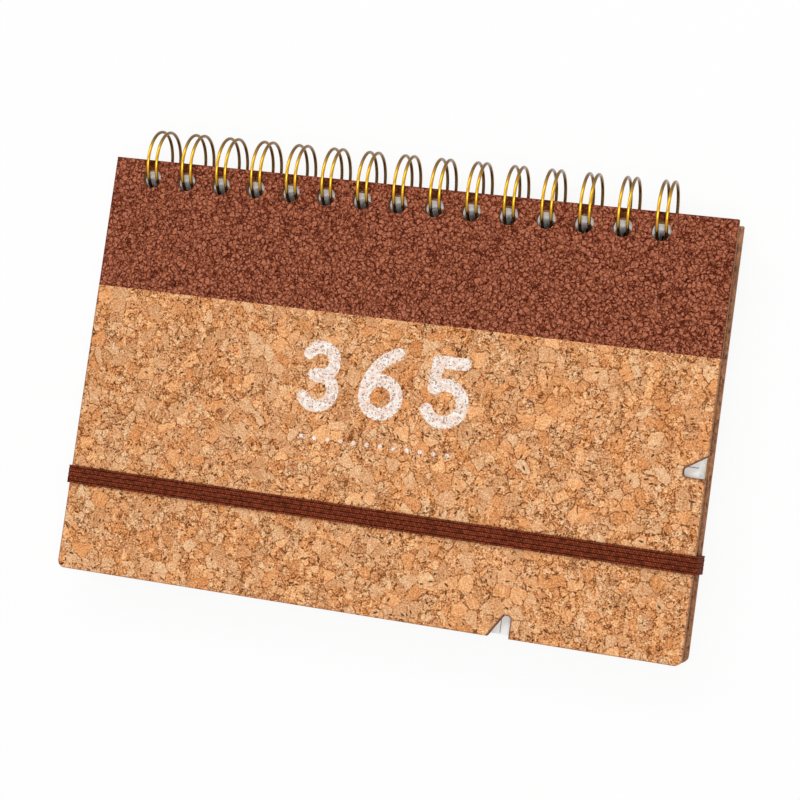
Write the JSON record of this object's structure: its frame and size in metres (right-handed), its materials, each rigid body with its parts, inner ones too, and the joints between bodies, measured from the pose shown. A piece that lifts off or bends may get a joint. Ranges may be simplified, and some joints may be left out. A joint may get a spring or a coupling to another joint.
{
  "type": "desk calendar",
  "caption": "Closed wire-bound desk calendar: cork-faced covers and month leaves turn on a twin-loop wire, with thumb notches and an elastic strap round it.",
  "frame": {"origin": "on the surface that the closed calendar lies on, under the middle of its outer box", "axes": "+X along the bound edge to the right, +Y towards the binding wire, +Z out of the front cover"},
  "size_m": [0.218, 0.1548, 0.0222],
  "materials": {
    "natural_cork": "matt granulated cork, pale brown",
    "red_cork": "matt fine granulated cork, red brown",
    "grey_board": "raw brown binder's board",
    "lining_paper": "matt uncoated paper",
    "leaf_paper": "matt off-white paper with ruled lines",
    "gold_wire": "bright gold-coated wire",
    "elastic_webbing": "ribbed woven elastic, dark red brown",
    "anchor_steel": "bright zinc"
  },
  "bodies": {
    "back_cover": {"back_board": "grey_board", "back_cork_sheet": "natural_cork", "back_band_sheet": "red_cork", "back_lining": "lining_paper", "binding_wire": "gold_wire", "elastic_strap": "elastic_webbing", "strap_anchors": "anchor_steel"},
    "front_cover": {"front_board": "grey_board", "front_cork_sheet": "natural_cork", "front_band_sheet": "red_cork", "front_lining": "lining_paper"},
    "year_section": {"year_leaves": "leaf_paper"},
    "month_01_section": {"month_01_leaves": "leaf_paper"},
    "month_02_section": {"month_02_leaves": "leaf_paper"},
    "month_03_section": {"month_03_leaves": "leaf_paper"},
    "month_04_section": {"month_04_leaves": "leaf_paper"},
    "month_05_section": {"month_05_leaves": "leaf_paper"},
    "month_06_section": {"month_06_leaves": "leaf_paper"},
    "month_07_section": {"month_07_leaves": "leaf_paper"},
    "month_08_section": {"month_08_leaves": "leaf_paper"},
    "month_09_section": {"month_09_leaves": "leaf_paper"},
    "month_10_section": {"month_10_leaves": "leaf_paper"},
    "month_11_section": {"month_11_leaves": "leaf_paper"},
    "month_12_section": {"month_12_leaves": "leaf_paper"},
    "notes_section": {"notes_leaves": "leaf_paper"}
  },
  "joints": [
    {"name": "cover_turn", "type": "hinge", "parent": "back_cover", "child": "front_cover", "pos_m": [0, 0.06636, 0.01115], "axis": [-1, 0, 0], "range_deg": [0, 180], "deforming": ["elastic_strap"]},
    {"name": "year_turn", "type": "hinge", "parent": "back_cover", "child": "year_section", "pos_m": [0, 0.06636, 0.01115], "axis": [-1, 0, 0], "range_deg": [0, 180]},
    {"name": "month_01_turn", "type": "hinge", "parent": "back_cover", "child": "month_01_section", "pos_m": [0, 0.06636, 0.01115], "axis": [-1, 0, 0], "range_deg": [0, 180]},
    {"name": "month_02_turn", "type": "hinge", "parent": "back_cover", "child": "month_02_section", "pos_m": [0, 0.06636, 0.01115], "axis": [-1, 0, 0], "range_deg": [0, 180]},
    {"name": "month_03_turn", "type": "hinge", "parent": "back_cover", "child": "month_03_section", "pos_m": [0, 0.06636, 0.01115], "axis": [-1, 0, 0], "range_deg": [0, 180]},
    {"name": "month_04_turn", "type": "hinge", "parent": "back_cover", "child": "month_04_section", "pos_m": [0, 0.06636, 0.01115], "axis": [-1, 0, 0], "range_deg": [0, 180]},
    {"name": "month_05_turn", "type": "hinge", "parent": "back_cover", "child": "month_05_section", "pos_m": [0, 0.06636, 0.01115], "axis": [-1, 0, 0], "range_deg": [0, 180]},
    {"name": "month_06_turn", "type": "hinge", "parent": "back_cover", "child": "month_06_section", "pos_m": [0, 0.06636, 0.01115], "axis": [-1, 0, 0], "range_deg": [0, 180]},
    {"name": "month_07_turn", "type": "hinge", "parent": "back_cover", "child": "month_07_section", "pos_m": [0, 0.06636, 0.01115], "axis": [-1, 0, 0], "range_deg": [0, 180]},
    {"name": "month_08_turn", "type": "hinge", "parent": "back_cover", "child": "month_08_section", "pos_m": [0, 0.06636, 0.01115], "axis": [-1, 0, 0], "range_deg": [0, 180]},
    {"name": "month_09_turn", "type": "hinge", "parent": "back_cover", "child": "month_09_section", "pos_m": [0, 0.06636, 0.01115], "axis": [-1, 0, 0], "range_deg": [0, 180]},
    {"name": "month_10_turn", "type": "hinge", "parent": "back_cover", "child": "month_10_section", "pos_m": [0, 0.06636, 0.01115], "axis": [-1, 0, 0], "range_deg": [0, 180]},
    {"name": "month_11_turn", "type": "hinge", "parent": "back_cover", "child": "month_11_section", "pos_m": [0, 0.06636, 0.01115], "axis": [-1, 0, 0], "range_deg": [0, 180]},
    {"name": "month_12_turn", "type": "hinge", "parent": "back_cover", "child": "month_12_section", "pos_m": [0, 0.06636, 0.01115], "axis": [-1, 0, 0], "range_deg": [0, 180]},
    {"name": "notes_turn", "type": "hinge", "parent": "back_cover", "child": "notes_section", "pos_m": [0, 0.06636, 0.01115], "axis": [-1, 0, 0], "range_deg": [0, 180]}
  ],
  "couplings": [
    {"joint": "year_turn", "follows": "cover_turn", "ratio": 0.994},
    {"joint": "month_01_turn", "follows": "cover_turn", "ratio": 0.988},
    {"joint": "month_02_turn", "follows": "cover_turn", "ratio": 0.982},
    {"joint": "month_03_turn", "follows": "cover_turn", "ratio": 0.976},
    {"joint": "month_04_turn", "follows": "cover_turn", "ratio": 0.97},
    {"joint": "month_05_turn", "follows": "cover_turn", "ratio": 0.964},
    {"joint": "month_06_turn", "follows": "cover_turn", "ratio": 0.958},
    {"joint": "month_07_turn", "follows": "cover_turn", "ratio": 0.952},
    {"joint": "month_08_turn", "follows": "cover_turn", "ratio": 0.946},
    {"joint": "month_09_turn", "follows": "cover_turn", "ratio": 0.94},
    {"joint": "month_10_turn", "follows": "cover_turn", "ratio": 0.934},
    {"joint": "month_11_turn", "follows": "cover_turn", "ratio": 0.928},
    {"joint": "month_12_turn", "follows": "cover_turn", "ratio": 0.922},
    {"joint": "notes_turn", "follows": "cover_turn", "ratio": 0.916}
  ]
}
